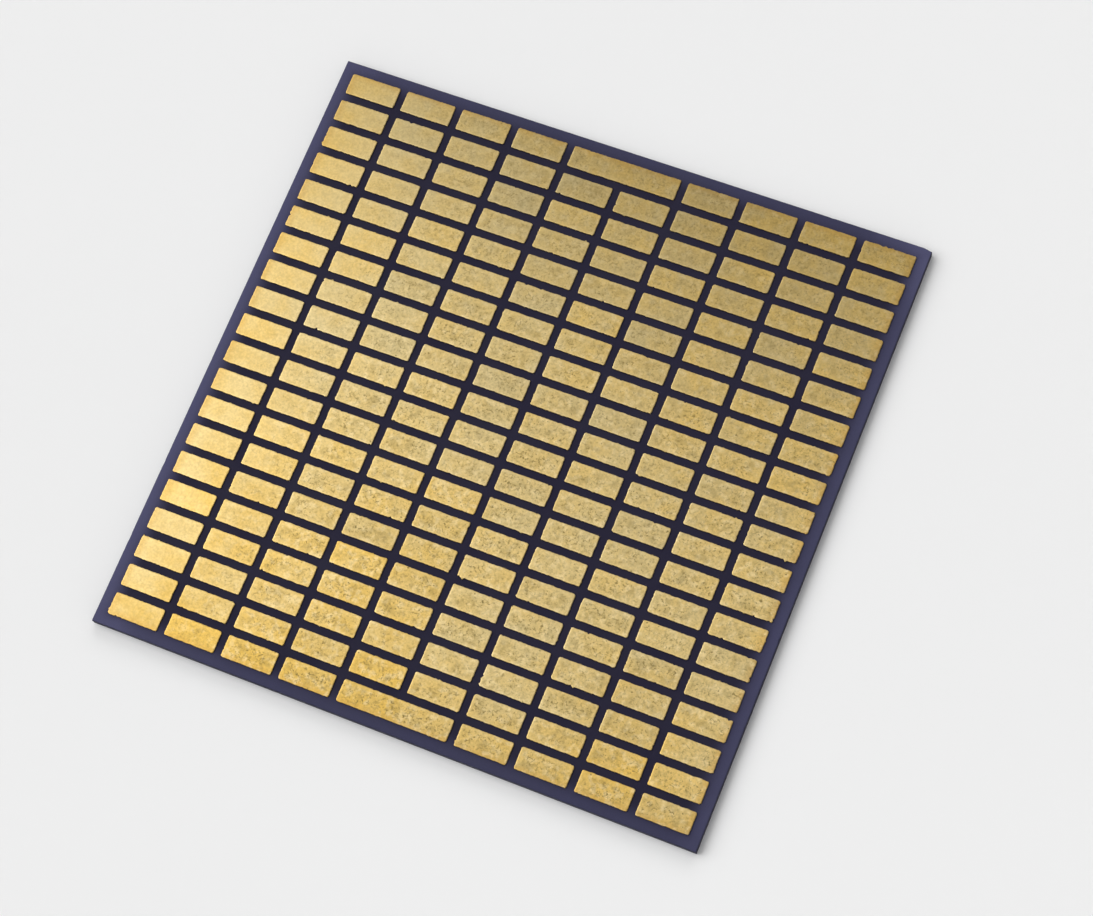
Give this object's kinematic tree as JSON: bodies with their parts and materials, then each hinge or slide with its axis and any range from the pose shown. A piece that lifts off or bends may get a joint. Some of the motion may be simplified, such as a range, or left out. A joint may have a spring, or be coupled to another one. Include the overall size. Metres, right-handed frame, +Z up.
{
  "type": "metallised ceramic substrate",
  "caption": "Thin square aluminium nitride plate with rows of separate gold-finished conductor pads on one face, and a wide pad in the middle of each end row.",
  "frame": {"origin": "middle of the bare underside, which lies on the heat sink", "axes": "+X along the rows, which is the long way of every pad; +Y from the front row to the back row; +Z up through the plate, from the bare underside to the pads"},
  "size_m": [0.04, 0.04, 0.0007],
  "materials": {
    "ceramic": "matte",
    "gold_pads": "satin"
  },
  "bodies": {
    "root": {"ceramic_plate": "ceramic", "pad_row_01": "gold_pads", "pad_row_02": "gold_pads", "pad_row_03": "gold_pads", "pad_row_04": "gold_pads", "pad_row_05": "gold_pads", "pad_row_06": "gold_pads", "pad_row_07": "gold_pads", "pad_row_08": "gold_pads", "pad_row_09": "gold_pads", "pad_row_10": "gold_pads", "pad_row_11": "gold_pads", "pad_row_12": "gold_pads", "pad_row_13": "gold_pads", "pad_row_14": "gold_pads", "pad_row_15": "gold_pads", "pad_row_16": "gold_pads", "pad_row_17": "gold_pads", "pad_row_18": "gold_pads", "pad_row_19": "gold_pads", "pad_row_20": "gold_pads", "wide_pad_back": "gold_pads", "wide_pad_front": "gold_pads"}
  },
  "joints": []
}
